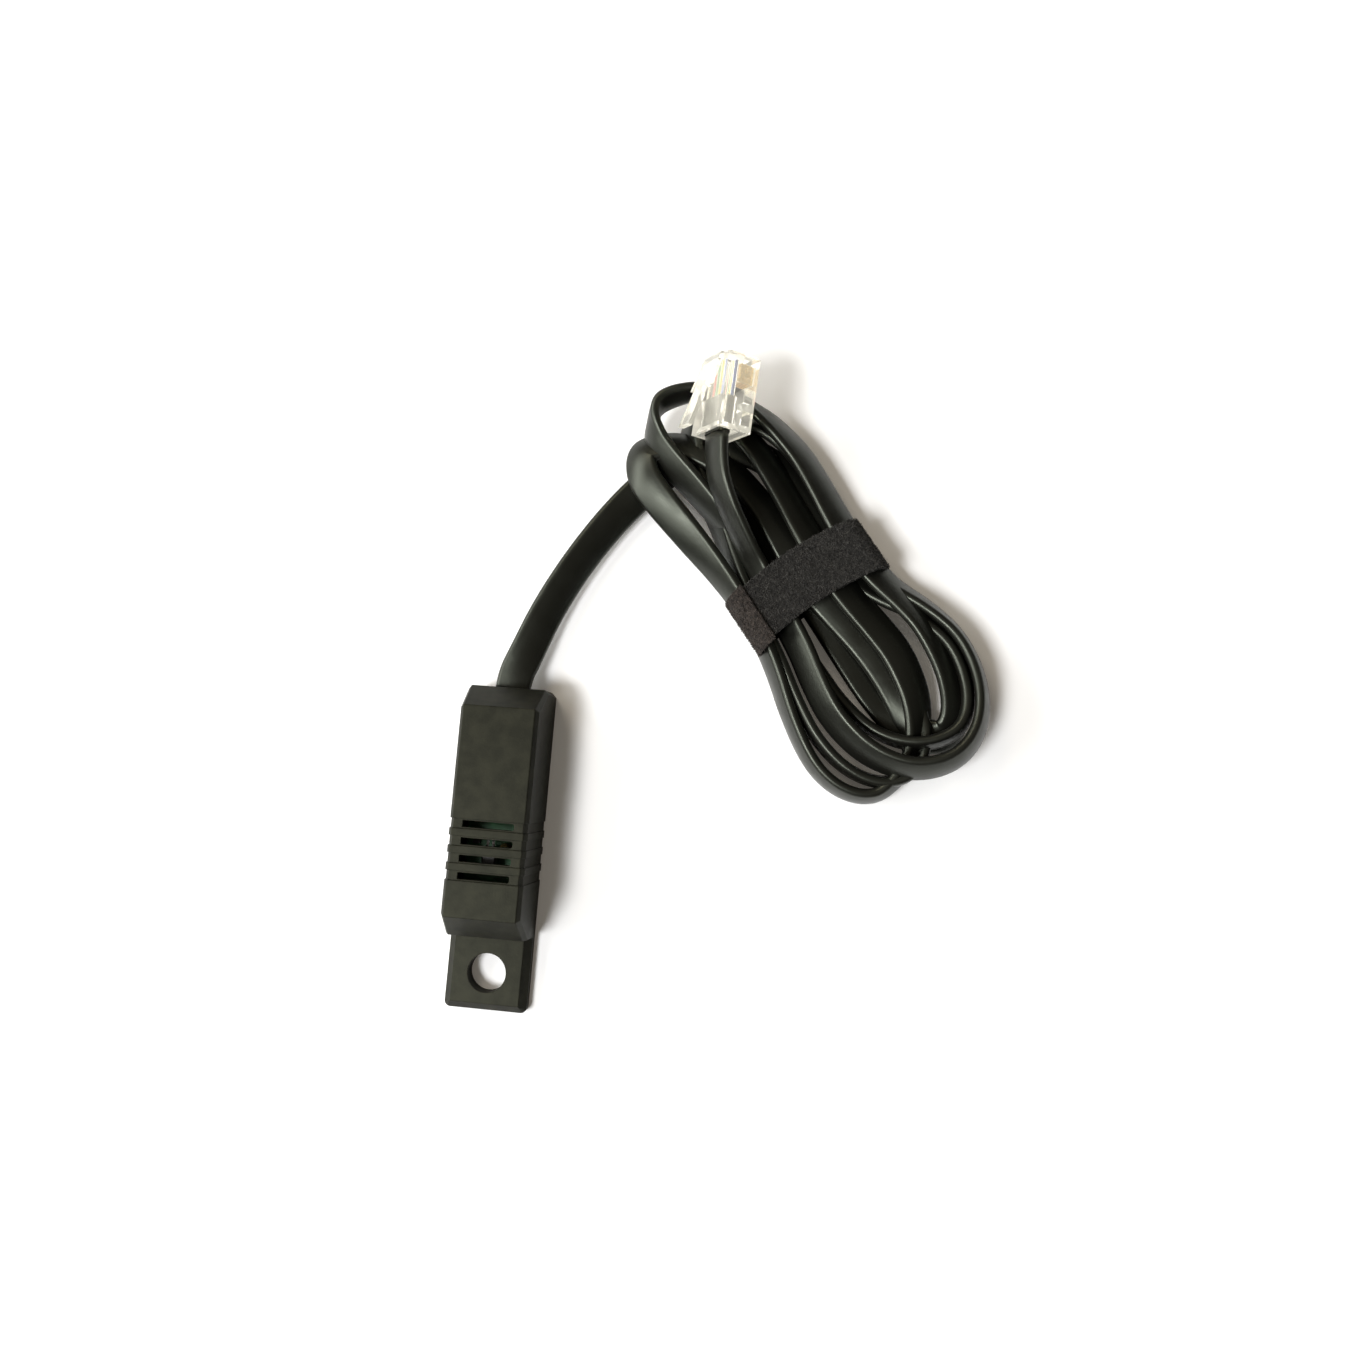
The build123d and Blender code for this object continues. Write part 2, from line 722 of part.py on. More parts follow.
# Uncoiled stretches of the cord, as plain round tubes as wide as the cord. The lead starts flush with the
# housing's end and is cut to the side of the hank. The tail starts flush with the plug's rear and runs
# down onto the hank's sloping top.
with BuildPart() as cord_lead:
    with BuildLine() as lead_line:
        route(lead_points)
    lead_path = lead_line.wires()[0]
    with BuildSketch(Plane(origin=lead_path @ 0, z_dir=lead_path % 0)):
        Circle(cord_width / 2)
    sweep(path=lead_path)
    report_cord("cord_lead", lead_points, lead_path, cord_lead.part)
    split(bisect_by=end_plane(body_end), keep=Keep.BOTTOM)
    add(cord_hank.part, mode=Mode.SUBTRACT)
save(cord_lead.part, "cord_lead")

hank_top = Plane(
    origin=hank_plane.from_local_coords((0, waist_end, hank_height)),
    x_dir=hank_plane.x_dir,
    z_dir=hank_plane.y_dir * (hank_height - plug_end_height)
    + hank_plane.z_dir * (bed_share * plug_end_reach - waist_end),
)
with BuildPart() as cord_tail:
    with BuildLine() as tail_line:
        route(tail_points)
    tail_path = tail_line.wires()[0]
    with BuildSketch(Plane(origin=tail_path @ 0, z_dir=tail_path % 0)):
        Circle(cord_width / 2)
    sweep(path=tail_path)
    report_cord("cord_tail", tail_points, tail_path, cord_tail.part)
    split(bisect_by=Plane(origin=plug_origin, z_dir=nose), keep=Keep.BOTTOM)
    split(bisect_by=hank_top, keep=Keep.TOP)
save(cord_tail.part, "cord_tail")
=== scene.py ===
"""Looks of the rack temperature sensor: a dark vented housing with a screw tab, and a flat black cord wound in
a hank under a fabric tie, with a clear modular plug. Metres, in the CAD model's frame: +Y runs along the
housing towards the cord, +Z is up from the table."""

import bpy
import numpy as np
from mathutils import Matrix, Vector


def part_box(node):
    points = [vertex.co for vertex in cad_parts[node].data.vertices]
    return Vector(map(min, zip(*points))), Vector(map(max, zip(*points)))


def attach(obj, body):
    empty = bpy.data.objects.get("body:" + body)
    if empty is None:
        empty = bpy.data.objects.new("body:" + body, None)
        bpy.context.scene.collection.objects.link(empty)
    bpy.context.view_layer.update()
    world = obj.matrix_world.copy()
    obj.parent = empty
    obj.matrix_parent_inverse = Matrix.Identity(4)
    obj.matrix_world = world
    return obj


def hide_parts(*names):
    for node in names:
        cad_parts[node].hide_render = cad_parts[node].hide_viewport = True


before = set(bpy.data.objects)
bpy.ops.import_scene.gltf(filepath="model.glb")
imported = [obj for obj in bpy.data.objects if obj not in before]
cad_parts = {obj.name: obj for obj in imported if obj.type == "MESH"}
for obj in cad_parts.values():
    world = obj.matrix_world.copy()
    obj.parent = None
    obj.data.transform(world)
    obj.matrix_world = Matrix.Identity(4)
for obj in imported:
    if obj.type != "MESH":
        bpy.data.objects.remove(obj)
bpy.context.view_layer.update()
mm = 0.001

# Camera: a small one held by hand, almost straight above the middle of the part, leaning a little and turned a
# little.
camera_data = bpy.data.cameras.new("camera")
camera_data.sensor_width = 36.0
camera_data.lens = 27.71
camera_data.clip_start = 10 * mm
camera = bpy.data.objects.new("camera", camera_data)
camera.location = (45.95 * mm, 40.05 * mm, 195.9 * mm)
camera.rotation_euler = (0.090, 0.070, 0.081)
bpy.context.scene.collection.objects.link(camera)
bpy.context.scene.camera = camera
bpy.context.scene.view_settings.view_transform = "Standard"

# Cord: a flat black six-core cord, extruded in soft plastic. It leaves the housing, is wound by hand into a
# hank of flattened turns that fan out at both ends, and comes up out of the hank to the plug.
cord_width = 6.6 * mm
cord_thickness = 2.4 * mm
cord_crown = 0.3 * mm
cord_edge = 0.9 * mm

# Places along the cord are in millimetres here, and each has a lean in degrees: how far the cord's width is
# tipped up from the table, about the cord's own line.
lead_points = [
    (0.0, 51.9, 3.6),
    (0.3, 55.0, 3.6),
    (1.7, 58.4, 3.5),
    (5.3, 68.0, 3.45),
    (11.2, 78.9, 3.4),
    (18.6, 89.3, 3.1),
    (26.6, 97.2, 2.7),
]
lead_leans = [0, -5, -20, -34, -38, -30, -10]
tail_points = [
    (43.6, 77.2, 6.0),
    (40.6, 82.9, 9.0),
    (37.2, 88.6, 11.6),
    (35.0, 94.4, 13.0),
    (34.9, 100.0, 13.3),
]
tail_leans = [-128, -112, -114, -122, -123]

# The hank has its own axes: across is measured along the tie, and along is measured square to it, towards the
# plug. Each row of crossings is where a strand passes under the tie: across, height and lean. Each row of turns
# is the half turn that follows: its shoulder on the way out and its shoulder on the way back (across, along,
# height, lean and belly), with its end between them (across, reach, height and lean). A lean below zero means
# that the cord has turned over, as it does once in the hank.
hank_centre = (53.35, 75.05)
hank_turn = np.radians(37.5)
steps_each = 3
crossings = [
    (8.0, 2.8, 35),
    (-7.0, 3.4, 85),
    (10.7, 6.4, 35),
    (-0.2, 2.6, 0),
    (4.6, 6.4, 35),
    (-12.0, 4.7, 70),
    (0.8, 5.0, 0),
    (-11.0, 3.4, -105),
    (11.4, 3.2, -120),
    (-6.4, 5.9, -130),
]
turns = [
    ((15.8, 22, 4.2, 78, 0), (6.5, 37.0, 5.8, 75), (-6.6, 21, 3.8, 95, 0)),
    ((-8.9, 36, 7.0, 46, 1.8), (-2.8, 43.9, 7.8, 102), (12.3, 22, 6.6, 47, 0)),
    ((13.3, 18, 6.4, 50, 0), (6.0, 36.4, 3.0, 30), (-0.8, 23, 2.6, -16, 0)),
    ((-4.0, 30, 3.4, 60, 0), (0.2, 38.4, 3.6, 60), (6.5, 25, 5.2, 42, 0)),
    ((6.6, 20, 5.9, 24, 0), (-9.0, 39.0, 3.4, 76), (-17.5, 27, 3.6, 77, 0)),
    ((-14.4, 31.5, 6.2, 22, 0.6), (-10.8, 38.4, 5.4, 34), (1.4, 18, 5.0, 38, 0)),
    ((3.2, 23, 4.4, 6, 0.6), (-4.5, 38.8, 3.5, -88), (-14.2, 24, 3.5, -95, 0)),
    ((-5.6, 29, 3.4, -118, 0), (1.0, 36.0, 3.4, -115), (12.4, 22, 3.0, -125, 0)),
    ((18.0, 23, 5.0, -104, 0), (4.4, 40.8, 7.6, -118), (-10.0, 23, 6.8, -126, 0)),
]
entry_points = [(-2.0, 33.5, 3.0), (5.0, 29.0, 3.0), (9.0, 20.0, 3.0), (9.6, 10.0, 3.0)]
entry_leans = [10, 20, 25, 25]


def on_hank(across, along, height):
    """Points in the part's frame, from places across and along the hank, which is turned about its centre."""
    east = hank_centre[0] + across * np.cos(hank_turn) - along * np.sin(hank_turn)
    north = hank_centre[1] + across * np.sin(hank_turn) + along * np.cos(hank_turn)
    return np.column_stack([east, north, height])


def half_turn(crossing, shoulder, end):
    """Places on a strand from a crossing to just short of the end of a turn. The run to the shoulder eases by
    three squares less two cubes of its share, with a sine of half a wave for its belly. The bend is a quarter
    ellipse, across by the cosine and along by the sine, and height and lean follow the sine's square."""
    share = np.arange(steps_each) / steps_each
    ease = share**2 * (3 - 2 * share)
    at_crossing, at_shoulder = np.array([crossing[0], 0, *crossing[1:]]), np.array(shoulder[:4])
    run = at_crossing + (at_shoulder - at_crossing) * ease[:, None]
    run[:, 0] += shoulder[4] * np.sin(np.pi * share)
    run[:, 1] = at_shoulder[1] * share
    angle = share * np.pi / 2
    at_end = np.array(end)
    bend = at_shoulder + (at_end - at_shoulder) * np.sin(angle)[:, None] ** 2
    bend[:, 0] = at_end[0] + (at_shoulder[0] - at_end[0]) * np.cos(angle)
    bend[:, 1] = at_shoulder[1] + (at_end[1] - at_shoulder[1]) * np.sin(angle)
    return np.vstack([run, bend])


hank_rows = []
for number, (out, end, back) in enumerate(turns):
    side = 1 if number % 2 else -1
    going = half_turn(crossings[number], out, end)
    coming = half_turn(crossings[number + 1], back, end)
    turn_rows = np.vstack([going, end, coming[:0:-1]])
    turn_rows[:, 1] *= side
    hank_rows.append(turn_rows)
hank = np.vstack(hank_rows)
entry = np.array(entry_points)
route = np.vstack([lead_points, on_hank(*entry.T), on_hank(*hank.T[:3]), tail_points]) * mm
route_leans = np.concatenate([lead_leans, entry_leans, hank[:, 3], tail_leans])


def spline_line(points):
    """Points along the smooth line that a NURBS spline of second degree draws from the given control points."""
    data = bpy.data.curves.new("line", "CURVE")
    data.dimensions = "3D"
    data.resolution_u = 8
    spline = data.splines.new("NURBS")
    spline.points.add(len(points) - 1)
    spline.points.foreach_set("co", np.column_stack([points, np.ones(len(points))]).ravel())
    spline.order_u = 3
    spline.use_endpoint_u = True
    carrier = bpy.data.objects.new("line", data)
    drawn = bpy.data.meshes.new_from_object(carrier)
    line = np.empty(len(drawn.vertices) * 3)
    drawn.vertices.foreach_get("co", line)
    bpy.data.objects.remove(carrier)
    bpy.data.curves.remove(data)
    bpy.data.meshes.remove(drawn)
    return line.reshape(-1, 3)


def flat_section(width, thickness, crown, edge, steps):
    """Outline of a flat cord: two crowned faces, whose height falls as the square of the distance from the
    middle, joined by two half ellipses."""
    flat = width / 2 - edge
    across = np.linspace(-flat, flat, steps)
    face = thickness / 2 - crown * (across / flat) ** 2
    turn = np.linspace(np.pi / 2, -np.pi / 2, steps // 2 + 2)[1:-1]
    end = thickness / 2 - crown
    right = np.column_stack([flat + edge * np.cos(turn), end * np.sin(turn)])
    top = np.column_stack([across, face])
    return np.vstack([top, right, -top, -right])


def tube_mesh(name, rings):
    """Closed mesh through rings of points, with its two ends capped."""
    count, around = rings.shape[:2]
    index = np.arange(count * around).reshape(count, around)
    ahead = np.roll(index, -1, axis=1)
    sides = np.stack([index[:-1], ahead[:-1], ahead[1:], index[1:]], axis=-1).reshape(-1, 4)
    caps = [index[0][::-1].tolist(), index[-1].tolist()]
    mesh = bpy.data.meshes.new(name)
    mesh.from_pydata(rings.reshape(-1, 3), [], sides.tolist() + caps)
    mesh.shade_smooth()
    return mesh


def add_piece(name, mesh, material):
    """Object for a new piece of the part, in its material, riding on the part's one body."""
    piece = bpy.data.objects.new(name, mesh)
    bpy.context.scene.collection.objects.link(piece)
    piece.data.materials.append(material)
    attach(piece, "root")
    return piece


def surface(name, colour=None, roughness=None):
    """New material and its shader node, with its colour and its roughness where either is the same all over."""
    material = bpy.data.materials.new(name)
    material.use_nodes = True
    shader = material.node_tree.nodes["Principled BSDF"]
    if colour is not None:
        shader.inputs["Base Color"].default_value = (*colour, 1)
    if roughness is not None:
        shader.inputs["Roughness"].default_value = roughness
    return material, shader


def noise(material, scale, detail=3.0):
    """Noise node of a material on the object's own coordinates, with its scale in features per metre."""
    nodes, links = material.node_tree.nodes, material.node_tree.links
    place = nodes.new("ShaderNodeTexCoord")
    texture = nodes.new("ShaderNodeTexNoise")
    texture.inputs["Scale"].default_value = scale
    texture.inputs["Detail"].default_value = detail
    links.new(place.outputs["Object"], texture.inputs["Vector"])
    return texture


def grain(material, shader, scale, height, detail=3.0):
    """Fine bumps on a material, as high as the given height, and the bump node that makes them."""
    nodes, links = material.node_tree.nodes, material.node_tree.links
    bump = nodes.new("ShaderNodeBump")
    bump.inputs["Distance"].default_value = height
    links.new(noise(material, scale, detail).outputs["Fac"], bump.inputs["Height"])
    links.new(bump.outputs["Normal"], shader.inputs["Normal"])
    return bump


def blotches(material, scale, detail=3.0):
    """Node whose result goes from 0 to 1 over the middle of a noise, where most of its values lie."""
    ramp = material.node_tree.nodes.new("ShaderNodeMapRange")
    ramp.inputs["From Min"].default_value = 0.35
    ramp.inputs["From Max"].default_value = 0.65
    material.node_tree.links.new(noise(material, scale, detail).outputs["Fac"], ramp.inputs["Value"])
    return ramp


def mottle_colour(material, shader, scale, dark, light, detail=3.0):
    """Blotches of colour on a material, between a dark one and a light one."""
    nodes, links = material.node_tree.nodes, material.node_tree.links
    blend = nodes.new("ShaderNodeMix")
    blend.data_type = "RGBA"
    blend.inputs["A"].default_value = (*dark, 1)
    blend.inputs["B"].default_value = (*light, 1)
    links.new(blotches(material, scale, detail).outputs["Result"], blend.inputs["Factor"])
    links.new(blend.outputs["Result"], shader.inputs["Base Color"])


def mottle_roughness(material, shader, scale, smooth, rough):
    """Blotches of roughness on a material, between a smooth value and a rough one."""
    ramp = blotches(material, scale)
    ramp.inputs["To Min"].default_value = smooth
    ramp.inputs["To Max"].default_value = rough
    material.node_tree.links.new(ramp.outputs["Result"], shader.inputs["Roughness"])


# At each point of its line, the cord's width lies across its heading, tipped up from the table by its lean,
# and its face is square to both. The leans are smoothed by the same spline as the line is.
cord_line = spline_line(route)
lean_row = np.zeros_like(route)
lean_row[:, 0] = route_leans
cord_lean = np.radians(spline_line(lean_row)[:, 0])
heading = np.gradient(cord_line, axis=0)
heading /= np.linalg.norm(heading, axis=1)[:, None]
inward = np.column_stack([heading[:, 1], -heading[:, 0], np.zeros(len(heading))])
inward /= np.linalg.norm(inward, axis=1)[:, None]
upward = np.cross(inward, heading)
width_way = inward * np.cos(cord_lean)[:, None] + upward * np.sin(cord_lean)[:, None]
face_way = np.cross(width_way, heading)
section_steps = 14
section = flat_section(cord_width, cord_thickness, cord_crown, cord_edge, section_steps)
rings = cord_line[:, None] + section[:, :1] * width_way[:, None] + section[:, 1:] * face_way[:, None]
jacket, jacket_shader = surface("satin_black_jacket", (0.0055, 0.0055, 0.0045))
jacket_shader.inputs["Specular IOR Level"].default_value = 0.45
jacket_shader.inputs["Specular Tint"].default_value = (0.93, 1, 0.84, 1)
mottle_roughness(jacket, jacket_shader, 260, 0.32, 0.4)
grain(jacket, jacket_shader, 1500, 0.012 * mm)
cord = add_piece("flat_cord", tube_mesh("flat_cord", rings), jacket)
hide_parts("cord_lead", "cord_hank", "cord_tail")

# Tie: a strip of hook-and-loop tape closed round the waist of the hank, loops outwards. It is woven in dark
# yarn, and its loops stand up from it as a pile.
tie_width = 10.6 * mm
tie_thickness = 1.1 * mm
tie_edge = 0.4 * mm
tie_half = 13.7 * mm
tie_corner = 3.0 * mm
tie_bow = 1.5 * mm
tie_step = 0.5 * mm
tape_steps = 22
corner_steps = 10
pile_room = 0.3 * mm
tie_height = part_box("cord_tie")[1][2] - pile_room


def band_outline(half, height, corner, spacing):
    """Outline of a band across the hank: a rectangle with quarter circles for corners, from the middle of its
    underside round to the left, with points at an even spacing."""
    turn = np.linspace(0, np.pi / 2, corner_steps)
    left, right, low, high = corner - half, half - corner, corner, height - corner
    centres = [(left, low), (left, high), (right, high), (right, low)]
    corners = [
        np.column_stack([x - corner * np.cos(angle), z - corner * np.sin(angle)])
        for (x, z), angle in zip(centres, (np.pi / 2 - turn, -turn, -np.pi / 2 - turn, np.pi - turn))
    ]
    path = np.vstack([(0, 0), *corners, (0, 0)])
    reach = np.concatenate([[0], np.cumsum(np.linalg.norm(np.diff(path, axis=0), axis=1))])
    even = np.linspace(0, reach[-1], int(reach[-1] / spacing) + 1)
    return np.column_stack([np.interp(even, reach, path[:, 0]), np.interp(even, reach, path[:, 1])])


def outward(path):
    """Directions square to an outline, pointing away from the hank."""
    way = np.gradient(path, axis=0)
    way /= np.linalg.norm(way, axis=1)[:, None]
    return np.column_stack([-way[:, 1], way[:, 0]])


def bowed(across, along, height):
    """Points of the tape in the part's frame. Its middle is pulled towards the plug, by a bow that falls off as
    the square of the distance across."""
    along = along + tie_bow * (1 - (across / tie_half) ** 2)
    flat = np.stack([across, along, height]).reshape(3, -1) / mm
    return (on_hank(*flat) * mm).reshape(*np.shape(across), 3)


def tape_rings(path, width, thickness, edge):
    """Rings of a tape laid along an outline: a flat section with its edges rounded by half ellipses."""
    shape = flat_section(width, thickness, 0.0, edge, tape_steps)
    place = path[:, None] + outward(path)[:, None] * (shape[:, 1:] - thickness / 2)
    return bowed(place[..., 0], np.broadcast_to(shape[:, 0], place.shape[:2]), place[..., 1])


tie_fabric, tie_shader = surface("woven_loop_tape", roughness=0.95)
mottle_colour(tie_fabric, tie_shader, 1500, (0.006, 0.0055, 0.0045), (0.016, 0.015, 0.013))
grain(tie_fabric, tie_shader, 2400, 0.25 * mm)
band = band_outline(tie_half, tie_height, tie_corner, tie_step)
tie_mesh = tube_mesh("tie_band", tape_rings(band, tie_width, tie_thickness, tie_edge))
tie = add_piece("tie_band", tie_mesh, tie_fabric)
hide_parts("cord_tie")

# Lap: the tape's other end comes up round the left side and is pressed down on the top, its cut end forming
# the seam. It shows the browner back of the weave.
lap_width = 11.5 * mm
lap_thickness = 0.6 * mm
lap_edge = 0.28 * mm
lap_lift = 0.62 * mm
lap_step = 0.4 * mm
lap_foot = 0.7 * mm
lap_seam = -10.6 * mm
lap_fabric, lap_shader = surface("lapped_end", roughness=0.95)
mottle_colour(lap_fabric, lap_shader, 1700, (0.009, 0.007, 0.0055), (0.03, 0.023, 0.018))
grain(lap_fabric, lap_shader, 2600, 0.25 * mm)
lap_path = band_outline(tie_half + lap_lift, tie_height + lap_lift, tie_corner + lap_lift, lap_step)
past_seam = (lap_path[:, 1] > tie_height) & (lap_path[:, 0] > lap_seam)
lap_path = lap_path[np.argmax(lap_path[:, 1] > lap_foot) : np.argmax(past_seam)]
lap_mesh = tube_mesh("tie_lap", tape_rings(lap_path, lap_width, lap_thickness, lap_edge))
lap = add_piece("tie_lap", lap_mesh, lap_fabric)

# Pile: thousands of small loops of the tape's own yarn that stand up from its outside and catch on its hooks.
# Handling has laid them over in every direction. Each is a short arch of flat strip.
pile_random = np.random.default_rng(7)
pile_count = 15000
lap_pile_count = 3200
pile_foot = 0.5 * mm
pile_rise = (0.1 * mm, 0.3 * mm)
pile_reach = (0.08 * mm, 0.2 * mm)
pile_sway = 0.45
pile_stray = 0.3
yarn_half = 0.035 * mm
arch_strips = 4


def pile_mesh(name, path, count, width):
    """Arches scattered over the outside of a tape. Each is half an ellipse, the cosine of an angle times its
    reach and the sine times its rise, leant over in its own direction, and is a few short strips of yarn."""
    spot = pile_random.integers(1, len(path) - 1, count)
    away = outward(path)
    along = pile_random.uniform(-width / 2, width / 2, count)
    share = pile_random.uniform(0, 1, count)[:, None]
    foot = path[spot] + (path[spot + 1] - path[spot]) * share
    centre = np.column_stack([foot[:, 0], along, foot[:, 1]])
    rise_way = np.column_stack([away[spot][:, 0], pile_random.normal(0, pile_sway, count), away[spot][:, 1]])
    rise_way += pile_random.normal(0, pile_stray, (count, 3))
    bearing = pile_random.uniform(0, np.pi, count)
    tangent = np.column_stack([away[spot][:, 1], np.zeros(count), -away[spot][:, 0]])
    span_way = tangent * np.cos(bearing)[:, None] + np.array([0, 1, 0]) * np.sin(bearing)[:, None]
    yarn_way = np.cross(span_way, rise_way)
    yarn_way /= np.linalg.norm(yarn_way, axis=1)[:, None]
    angle = np.linspace(0, np.pi, arch_strips + 1)
    rise = pile_random.uniform(*pile_rise, count)[:, None, None]
    reach = pile_random.uniform(*pile_reach, count)[:, None, None]
    arch = (
        centre[:, None]
        + reach * np.cos(angle)[:, None] * span_way[:, None]
        + rise * np.sin(angle)[:, None] * rise_way[:, None]
    )
    yarn = yarn_half * yarn_way[:, None]
    corners = np.stack([arch - yarn, arch + yarn], axis=2).reshape(-1, 3)
    strip_start = 2 * np.arange(arch_strips)
    first = np.arange(count)[:, None] * 2 * (arch_strips + 1) + strip_start
    quads = np.stack([first, first + 1, first + 3, first + 2], axis=-1).reshape(-1, 4)
    mesh = bpy.data.meshes.new(name)
    mesh.from_pydata(bowed(*corners.T), [], quads.tolist())
    return mesh


yarn_fabric, yarn_shader = surface("loop_yarn", roughness=0.85)
mottle_colour(yarn_fabric, yarn_shader, 1300, (0.009, 0.0086, 0.0076), (0.042, 0.040, 0.036))
shown = band[band[:, 1] > pile_foot]
tie_loops = pile_mesh("tie_pile", shown, pile_count, tie_width)
pile = add_piece("tie_pile", tie_loops, yarn_fabric)
lap_yarn, lap_yarn_shader = surface("lap_yarn", roughness=0.85)
mottle_colour(lap_yarn, lap_yarn_shader, 1500, (0.014, 0.011, 0.009), (0.062, 0.049, 0.042))
lap_loops = pile_mesh("lap_pile", lap_path, lap_pile_count, lap_width)
lap_pile = add_piece("lap_pile", lap_loops, lap_yarn)

# Housing: base and cover are moulded in the same dark plastic and snapped together. Its level faces carry a
# coarse mottled grain from the mould, its slopes are smoother, and its edges are a little softened.
housing_edge = 0.22 * mm
housing_grain = 0.022 * mm
slope_facing = 0.9
level_facing = 0.99
slope_share = 0.25
housing_plastic, housing_shader = surface("moulded_housing", roughness=0.5)
housing_shader.inputs["Specular IOR Level"].default_value = 0.2
housing_shader.inputs["Specular Tint"].default_value = (0.94, 0.96, 0.74, 1)
mottle_colour(housing_plastic, housing_shader, 420, (0.0034, 0.0034, 0.0023), (0.0106, 0.0105, 0.0069), 10.0)
housing_bump = grain(housing_plastic, housing_shader, 3600, housing_grain, 6.0)


def rough_where_level(material, bump):
    """Lets a bump act in full on level faces and by a share of it on slopes and sides, by how far the face's
    own normal points up."""
    nodes, links = material.node_tree.nodes, material.node_tree.links
    facing = nodes.new("ShaderNodeNewGeometry")
    part = nodes.new("ShaderNodeSeparateXYZ")
    level = nodes.new("ShaderNodeMapRange")
    level.inputs["From Min"].default_value = slope_facing
    level.inputs["From Max"].default_value = level_facing
    level.inputs["To Min"].default_value = slope_share
    links.new(facing.outputs["True Normal"], part.inputs["Vector"])
    links.new(part.outputs["Z"], level.inputs["Value"])
    links.new(level.outputs["Result"], bump.inputs["Strength"])


rough_where_level(housing_plastic, housing_bump)
softened = housing_plastic.node_tree.nodes.new("ShaderNodeBevel")
softened.inputs["Radius"].default_value = housing_edge
housing_plastic.node_tree.links.new(softened.outputs["Normal"], housing_bump.inputs["Normal"])


def dress(material, *names):
    """Gives CAD nodes a material."""
    for name in names:
        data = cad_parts[name].data
        data.materials.clear()
        data.materials.append(material)


dress(housing_plastic, "housing_base", "housing_cover")

# Board and sensing parts: a green solder mask, tinned wires, moulded and fired parts and a resin bead. They are
# soldered to the board inside the housing and are seen only through the slots.
board_green, board_shader = surface("solder_mask", roughness=0.35)
mottle_colour(board_green, board_shader, 400, (0.004, 0.06, 0.014), (0.012, 0.11, 0.03))
dress(board_green, "circuit_board")
resin, resin_shader = surface("dipped_resin", roughness=0.12)
mottle_colour(resin, resin_shader, 700, (0.03, 0.024, 0.01), (0.07, 0.055, 0.02))
dress(resin, "thermistor_bead")
tin, tin_shader = surface("tinned_wire", (0.42, 0.43, 0.44))
tin_shader.inputs["Metallic"].default_value = 1
mottle_roughness(tin, tin_shader, 2000, 0.18, 0.4)
dress(tin, "thermistor_leads", "sensor_chip_legs", "solder_joints")
epoxy, epoxy_shader = surface("chip_epoxy", (0.02, 0.02, 0.02), 0.45)
grain(epoxy, epoxy_shader, 3000, 0.02 * mm)
dress(epoxy, "sensor_chip", "resistor")
ceramic, ceramic_shader = surface("capacitor_ceramic", roughness=0.5)
mottle_colour(ceramic, ceramic_shader, 1500, (0.24, 0.14, 0.07), (0.34, 0.21, 0.11))
dress(ceramic, "capacitor")
dress(jacket, "cord_root", "plug_jacket")

# Cores: six insulated wires, each in its own colour, that come out of the jacket at both ends of the cord. One
# end is soldered to the board and the other lies in the plug.
core_colours = {
    "white": (0.75, 0.75, 0.72),
    "black": (0.02, 0.02, 0.02),
    "red": (0.5, 0.03, 0.02),
    "green": (0.04, 0.25, 0.06),
    "yellow": (0.7, 0.5, 0.03),
    "blue": (0.03, 0.1, 0.4),
}
for core, colour in core_colours.items():
    insulation, insulation_shader = surface(f"{core}_insulation", colour)
    mottle_roughness(insulation, insulation_shader, 600, 0.28, 0.42)
    dress(insulation, f"board_core_{core}", f"plug_core_{core}")

# Plug: moulded in clear plastic, a little yellowed, with gold-flashed contacts that are pressed down into the
# cores. It rides on the cord's end, with everything in it.
clear, clear_shader = surface("clear_plastic_painted_glow", (0.98, 0.96, 0.88))
clear_shader.inputs["Transmission Weight"].default_value = 0.9
clear_shader.inputs["IOR"].default_value = 1.42
# The clear plastic also gets a faint warm glow of its own: painted light that brightens the whole plug, though
# nothing in it shines.
clear_shader.inputs["Emission Color"].default_value = (1, 0.97, 0.86, 1)
clear_shader.inputs["Emission Strength"].default_value = 0.12
mottle_roughness(clear, clear_shader, 300, 0.03, 0.08)
dress(clear, "plug_body")
gold, gold_shader = surface("gold_flash", (0.83, 0.6, 0.22))
gold_shader.inputs["Metallic"].default_value = 1
mottle_roughness(gold, gold_shader, 1500, 0.16, 0.3)
contacts = [f"plug_contact_{number}" for number in range(1, 7)]
dress(gold, *contacts)

# Table: a plain white floor that keeps the soft shadows. A faint glow fills them as the rest of the room would,
# and is warmer where it is seen through the plug.
table_half = 1.5
table_corners = table_half * np.array([(-1, -1, 0), (1, -1, 0), (1, 1, 0), (-1, 1, 0)])
floor_mesh = bpy.data.meshes.new("table")
floor_mesh.from_pydata(table_corners, [], [(0, 1, 2, 3)])
table = bpy.data.objects.new("table", floor_mesh)
bpy.context.scene.collection.objects.link(table)
paper = bpy.data.materials.new("white_table")
paper.use_nodes = True
nodes, links = paper.node_tree.nodes, paper.node_tree.links
nodes.clear()
output = nodes.new("ShaderNodeOutputMaterial")
white = nodes.new("ShaderNodeBsdfDiffuse")
white.inputs["Color"].default_value = (0.87, 0.88, 0.89, 1)
rays = nodes.new("ShaderNodeLightPath")
seen = nodes.new("ShaderNodeMath")
seen.operation = "MAXIMUM"
strength = nodes.new("ShaderNodeMath")
strength.operation = "MULTIPLY"
strength.inputs[1].default_value = 0.09
tint = nodes.new("ShaderNodeMix")
tint.data_type = "RGBA"
tint.inputs["A"].default_value = (1, 0.82, 0.62, 1)
tint.inputs["B"].default_value = (0.72, 0.67, 0.58, 1)
glow = nodes.new("ShaderNodeEmission")
both = nodes.new("ShaderNodeAddShader")
links.new(rays.outputs["Is Camera Ray"], seen.inputs[0])
links.new(rays.outputs["Is Transmission Ray"], seen.inputs[1])
links.new(seen.outputs[0], strength.inputs[0])
links.new(strength.outputs[0], glow.inputs["Strength"])
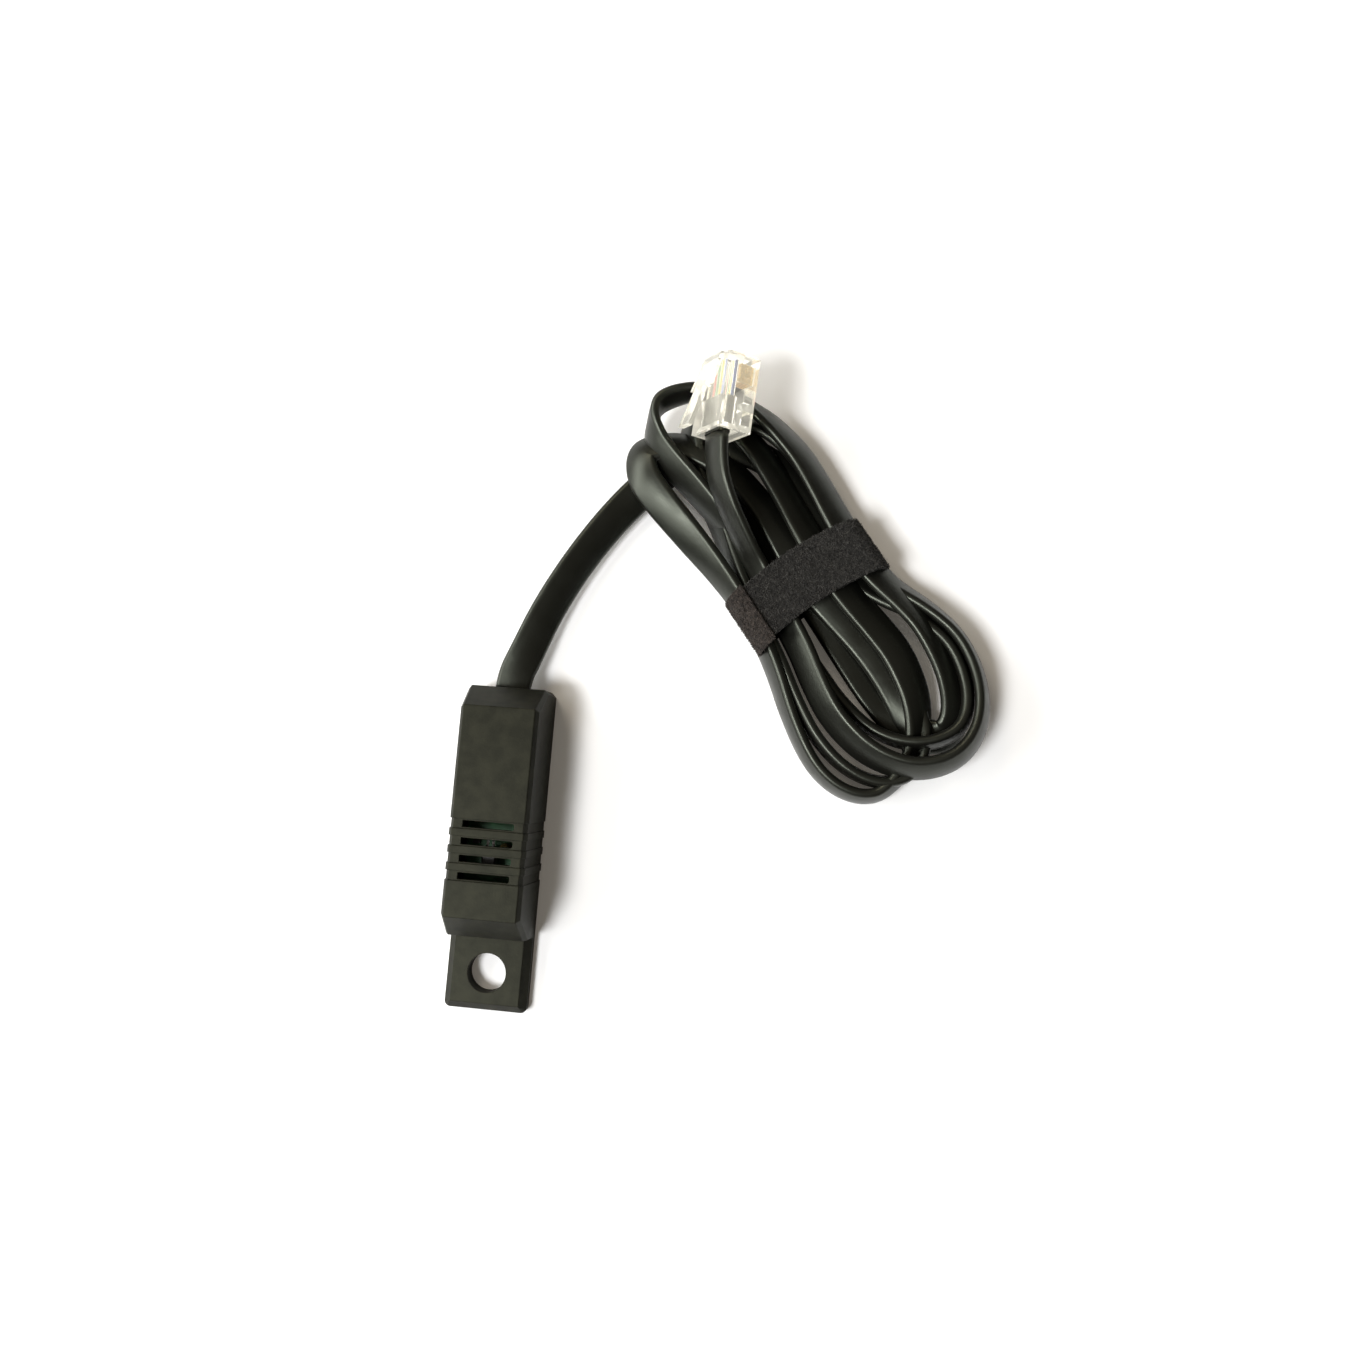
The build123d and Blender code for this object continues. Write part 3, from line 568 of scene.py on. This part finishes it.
links.new(rays.outputs["Is Camera Ray"], tint.inputs["Factor"])
links.new(tint.outputs["Result"], glow.inputs["Color"])
links.new(white.outputs[0], both.inputs[0])
links.new(glow.outputs[0], both.inputs[1])
links.new(both.outputs[0], output.inputs["Surface"])
floor_mesh.materials.append(paper)

# Light: a window on the left, a broad low one beside it, a warmer one behind the left, and a dim warm room
# that is dark at the horizon, so that edges facing away from the windows go nearly black.
world = bpy.data.worlds.new("room")
world.use_nodes = True
nodes, links = world.node_tree.nodes, world.node_tree.links
background = nodes["Background"]
background.inputs["Color"].default_value = (1, 0.88, 0.74, 1)
sky_place = nodes.new("ShaderNodeTexCoord")
sky_part = nodes.new("ShaderNodeSeparateXYZ")
sky_level = nodes.new("ShaderNodeMapRange")
sky_level.inputs["From Min"].default_value = 0.1
sky_level.inputs["From Max"].default_value = 0.9
sky_level.inputs["To Min"].default_value = 0.02
sky_level.inputs["To Max"].default_value = 0.19
links.new(sky_place.outputs["Generated"], sky_part.inputs["Vector"])
links.new(sky_part.outputs["Z"], sky_level.inputs["Value"])
links.new(sky_level.outputs["Result"], background.inputs["Strength"])
bpy.context.scene.world = world
part_middle = Vector((40 * mm, 60 * mm, 0))


def lamp(name, bearing, height, distance, size, power, colour):
    """Area lamp that looks at the middle of the part, from a bearing round from +X and a height in degrees."""
    data = bpy.data.lights.new(name, "AREA")
    data.shape = "RECTANGLE"
    data.size, data.size_y = size
    data.energy = power
    data.color = colour
    bearing, height = np.radians(bearing), np.radians(height)
    way = Vector((np.cos(height) * np.cos(bearing), np.cos(height) * np.sin(bearing), np.sin(height)))
    light = bpy.data.objects.new(name, data)
    light.location = part_middle + way * distance
    light.rotation_euler = way.to_track_quat("Z", "Y").to_euler()
    bpy.context.scene.collection.objects.link(light)


lamp("window", 218, 55, 1.5, (0.6, 0.38), 23, (1, 1, 1))
lamp("low_window", 178, 28, 1.2, (1.2, 0.5), 15, (1, 1, 0.98))
lamp("far_window", 128, 40, 1.2, (0.5, 0.4), 3.6, (1, 0.88, 0.7))
